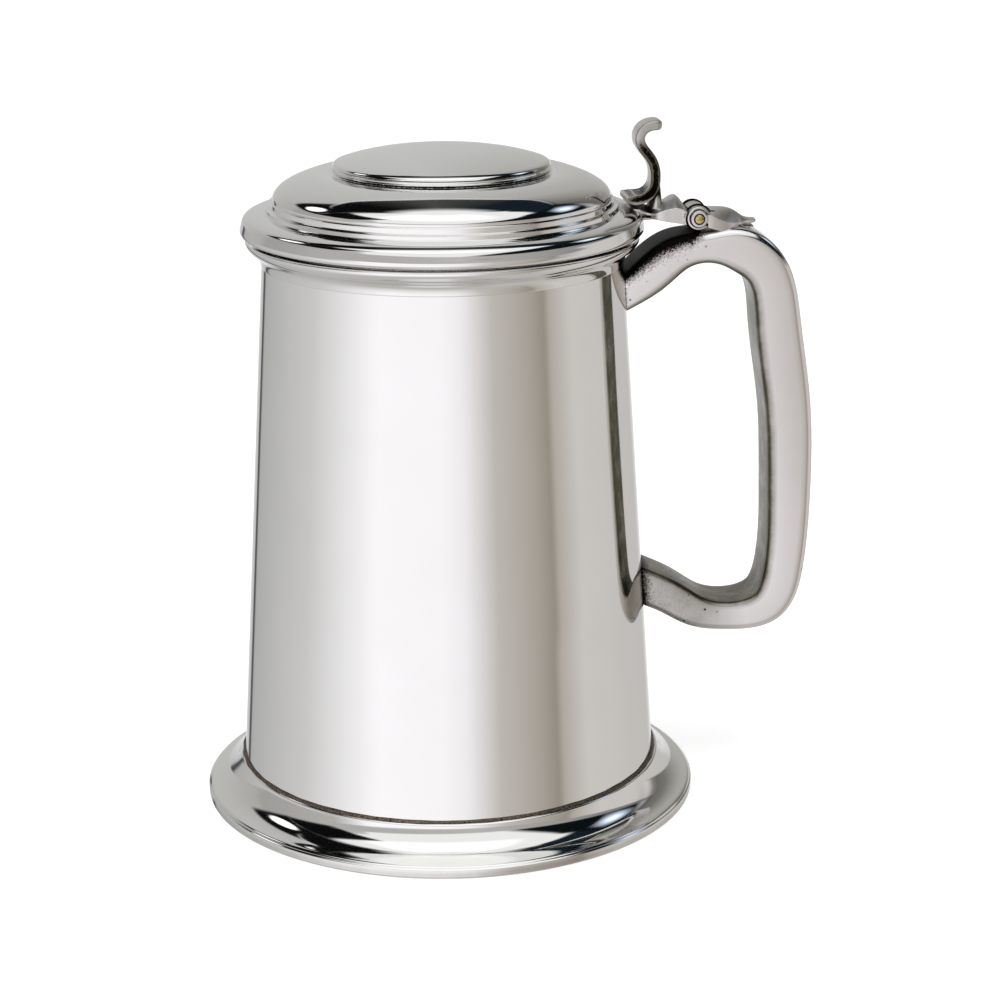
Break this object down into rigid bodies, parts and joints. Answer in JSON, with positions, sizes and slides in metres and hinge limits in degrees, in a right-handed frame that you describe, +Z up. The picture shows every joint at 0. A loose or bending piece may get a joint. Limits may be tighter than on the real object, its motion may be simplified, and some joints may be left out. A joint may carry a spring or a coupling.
{
  "type": "lidded tankard",
  "caption": "Pewter tankard with a tapered drum on a spreading foot, a loop handle and a domed lid that a thumbpiece lifts on a pinned hinge.",
  "frame": {"origin": "bottom centre of the whole object's box, on the table it stands on", "axes": "+Z up, +X towards the handle, Y along the hinge pin"},
  "size_m": [0.1304, 0.1058, 0.1442],
  "materials": {
    "polished_pewter": "polished, with fine scratches",
    "handle_pewter": "worn polish, small casting pits",
    "inner_pewter": "dull, turned",
    "cast_pewter": "cast, tarnished in the hollows",
    "pin_brass": "worn, riveted ends"
  },
  "bodies": {
    "tankard": {"foot_ring": "polished_pewter", "drum": "polished_pewter", "base_disc": "inner_pewter", "rim_band": "polished_pewter", "handle": "handle_pewter", "hinge_bracket": "cast_pewter", "hinge_pin": "pin_brass"},
    "lid": {"lid_shell": "polished_pewter", "lid_bezel": "inner_pewter", "lid_lug": "cast_pewter", "thumbpiece": "cast_pewter"}
  },
  "joints": [
    {"name": "lid_hinge", "type": "hinge", "parent": "tankard", "child": "lid", "pos_m": [0.04048, 0, 0.1242], "axis": [0, 1, 0], "range_deg": [0, 105]}
  ]
}
